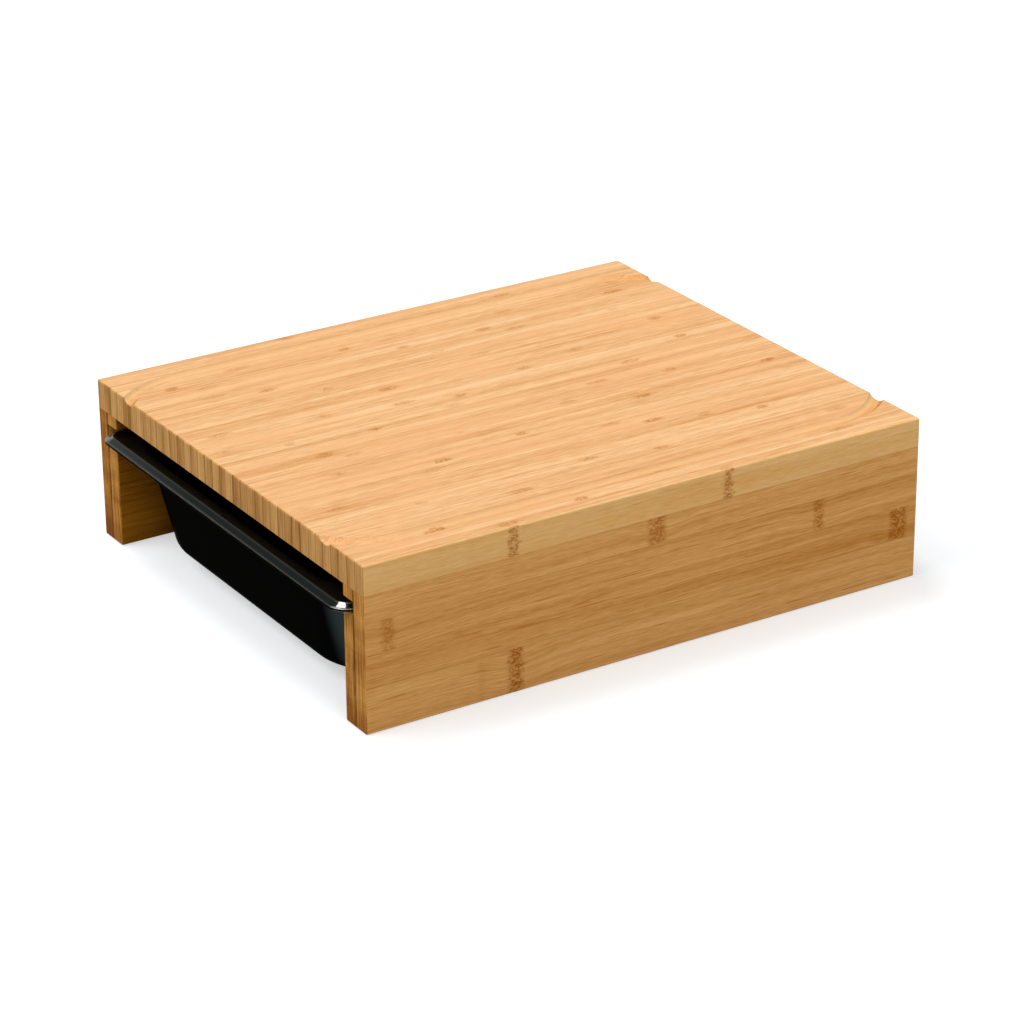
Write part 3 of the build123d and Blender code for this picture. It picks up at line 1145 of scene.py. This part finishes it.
# ---------------------------------------------------------------- board
@dataclass
class Board:
    """The plate, the plies of both legs, the runner strips and the dowels, as the frame has them.

    Attributes:
        nodes: The frame's objects, by name.
        plate: Finish of the plate.
        outer: Finish of each outer ply.
        inner: Finish of the inner plies and the runner strips, whose faces have darker tones as painted
            shade.
        inner_knots: The nodes that show on each inner ply.
        inner_seeds: Makes each inner ply's fibres its own.
        dowel: Finish of the dowels.
    """

    nodes: dict[str, bpy.types.Object]
    plate: PlateBamboo = PlateBamboo()
    outer: dict[Side, LegBamboo] = field(default_factory=lambda: {
        Side.RIGHT: LegBamboo(knots=(
            Knot(3, 180, 0.80, 5.5), Knot(2, 14, 0.75, 3.5), Knot(2, 287, 0.85, 3.2),
            Knot(1, 342, 1.0, 6.0), Knot(0, 91, 1.0, 4.5), Knot(0, 70, 0.25, 1.5),
        ), seed=3.0),
        Side.LEFT: LegBamboo(end=Tones((0.68, 0.285, 0.038), (0.16, 0.040, 0.001)), knots=(
            Knot(3, 62, 0.8), Knot(3, 301, 0.7), Knot(2, 208, 0.9),
            Knot(1, 118, 1.0, 5.0), Knot(0, 262, 0.95),
        ), seed=23.0),
    })
    inner: LegBamboo = LegBamboo(
        # Darker face tones: painted shade for the faces under the plate.
        face=Tones((0.45, 0.178, 0.013), (0.26, 0.084, 0.003)),
        end=Tones((0.83, 0.405, 0.090), (0.28, 0.080, 0.002)),
    )
    inner_knots: dict[Side, tuple[Knot, ...]] = field(default_factory=lambda: {
        Side.RIGHT: (Knot(0, 140, 0.8), Knot(1, 250, 0.9), Knot(2, 60, 0.7)),
        Side.LEFT: (Knot(0, 205, 0.8), Knot(1, 88, 0.9), Knot(2, 318, 0.7)),
    })
    inner_seeds: dict[Side, float] = field(default_factory=lambda: {Side.RIGHT: 63.0, Side.LEFT: 43.0})
    dowel: DowelWood = DowelWood()

    def dress(self) -> None:
        """Gives every node of the board its material."""
        self.paint("top_panel", self.plate.material("bamboo_plate"))
        dowel = self.dowel.material("dowel_wood_turned")
        for side in Side:
            label = side.name.lower()
            self.paint(f"{label}_side_outer", self.outer[side].material(f"bamboo_{label}_outer_ply"))
            inner = replace(self.inner, knots=self.inner_knots[side], seed=self.inner_seeds[side])
            inner_wood = inner.material(f"bamboo_{label}_inner_ply")
            self.paint(f"{label}_side_inner", inner_wood)
            self.paint(f"{label}_runner_strip", inner_wood)
            self.paint(f"{label}_dowels", dowel)

    def paint(self, node: str, material: bpy.types.Material) -> None:
        """Puts a material in every slot of a node.

        Args:
            node: The node's name.
            material: The material.
        """
        for slot in self.nodes[node].material_slots:
            slot.material = material
        log.info("%s: %s", node, material.name)


# ---------------------------------------------------------------- studio
@dataclass(frozen=True)
class Floor:
    """A plain pale floor that keeps the object's shadow.

    Attributes:
        half_size: Half its width, in metres.
        drop: How far it lies under the legs, in metres.
        bounce: Colour of the floor as it lights the object.
        seen: Colour that takes the shadow, as it is seen. A little blue evens out the light off the bamboo.
        glow: Added where it is seen, so that it is white out of the shadow.
    """

    half_size: float = 20.0
    drop: float = 0.0002
    bounce: Colour = (0.40, 0.40, 0.40)
    seen: Colour = (0.61, 0.63, 0.645)
    glow: float = 0.53

    def build(self) -> None:
        """Builds the floor and gives it its material."""
        mesh = bmesh.new()
        bmesh.ops.create_grid(mesh, x_segments=1, y_segments=1, size=self.half_size)
        bmesh.ops.translate(mesh, vec=Vector((0, 0, -self.drop)), verts=mesh.verts)
        floor = add_mesh("floor", mesh)
        sketch = ShaderSketch(bpy.data.materials.new("floor_paper"))
        seen = sketch.seen()
        paper = sketch.add("BsdfDiffuse", {"Color": sketch.blend(seen, self.bounce, self.seen)})
        glow = sketch.add("Emission", {"Color": (1.0, 1.0, 1.0), "Strength": sketch.times(seen, self.glow)})
        both = sketch.add("AddShader", {0: paper.outputs[0], 1: glow.outputs[0]})
        floor.data.materials.append(sketch.finish(both))


@dataclass(frozen=True)
class Lamp:
    """A distant lamp.

    Attributes:
        name: Its name.
        towards: Direction from the object to the lamp.
        level: Brightness it gives a white sheet that faces it.
        angle: How wide it looks from the object, in degrees.
    """

    name: str
    towards: tuple[float, float, float]
    level: float
    angle: float

    def build(self) -> None:
        """Builds the lamp."""
        light = bpy.data.lights.new(self.name, "SUN")
        light.energy = self.level * math.pi
        light.angle = math.radians(self.angle)
        lamp = add_object(self.name, light)
        lamp.rotation_euler = Vector(self.towards).to_track_quat("Z", "Y").to_euler()


@dataclass(frozen=True)
class Studio:
    """Floor, lamps and the even light all round.

    Attributes:
        floor: The floor.
        lamps: The lamps.
        surround: Brightness of the even light.
        ceiling: Brightness of the ceiling, as it is mirrored.
        backdrop_top: Between these heights of a unit direction, the white backdrop passes into the ceiling.
    """

    floor: Floor = Floor()
    lamps: tuple[Lamp, ...] = (
        Lamp("softbox_overhead", (-0.362, -0.062, 0.930), 0.33, 20.0),
        Lamp("softbox_front", (-0.22, -0.58, 0.784), 0.45, 40.0),
        Lamp("softbox_side", (0.85, -0.05, 0.524), 0.345, 40.0),
    )
    surround: float = 0.23
    ceiling: float = 0.09
    backdrop_top: Pair = (0.43, 0.58)

    def build(self) -> None:
        """Builds the studio and sets the plain view transform."""
        self.floor.build()
        for lamp in self.lamps:
            lamp.build()
        world = bpy.data.worlds.new("studio")
        bpy.context.scene.world = world
        sketch = ShaderSketch(world)
        _, _, rise = sketch.split(sketch.add("TexCoord").outputs["Generated"])
        backdrop = sketch.ease(rise, *self.backdrop_top, 1.0, self.ceiling)
        level = sketch.blend_value(sketch.seen(), self.surround, backdrop)
        back = sketch.add("Background", {"Color": (1.0, 1.0, 1.0), "Strength": level})
        sketch.add("OutputWorld", {"Surface": back.outputs[0]})
        bpy.context.scene.view_settings.view_transform = "Standard"


@dataclass(frozen=True)
class Camera:
    """The camera at the place from which the board is seen.

    Attributes:
        lens: Focal length.
        sensor: Width of the sensor.
        place: Where it stands, in metres.
        heading: Turn about the upright, in degrees.
        dip: How far it looks down, in degrees.
        roll: Turn about its own axis, in degrees.
    """

    lens: float = 128.76
    sensor: float = 36.0
    place: tuple[float, float, float] = (1.6079, -1.00025, 0.8773)
    heading: float = 57.97
    dip: float = 24.20
    roll: float = -0.42

    def build(self) -> None:
        """Builds the camera, which the scene then uses."""
        data = bpy.data.cameras.new("camera")
        data.lens = self.lens
        data.sensor_width = self.sensor
        turn = (
            Matrix.Rotation(math.radians(self.heading), 4, "Z")
            @ Matrix.Rotation(math.radians(90 - self.dip), 4, "X")
            @ Matrix.Rotation(math.radians(self.roll), 4, "Z")
        )
        camera = add_object("camera", data)
        camera.matrix_world = Matrix.Translation(self.place) @ turn
        bpy.context.scene.camera = camera


def clear_defaults() -> None:
    """Removes the cube, lamp and camera that a new file starts with."""
    for name in ("Cube", "Light", "Camera"):
        if name in bpy.data.objects:
            bpy.data.objects.remove(bpy.data.objects[name])


def main() -> None:
    """Builds the camera, the studio, the board and the trays."""
    clear_defaults()
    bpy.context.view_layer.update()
    Camera().build()
    Studio().build()
    Board(frame["nodes"]).dress()
    for end in End:
        label = end.name.lower()
        tray = Tray(end).build(f"{label}_tray_shell")
        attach(tray, f"{label}_drawer")
        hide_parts(f"{label}_tray")
        log.info("%s: %d faces", tray.name, len(tray.data.polygons))


if __name__ == "__main__":
    logging.basicConfig(level=logging.INFO, format="%(message)s")
    main()
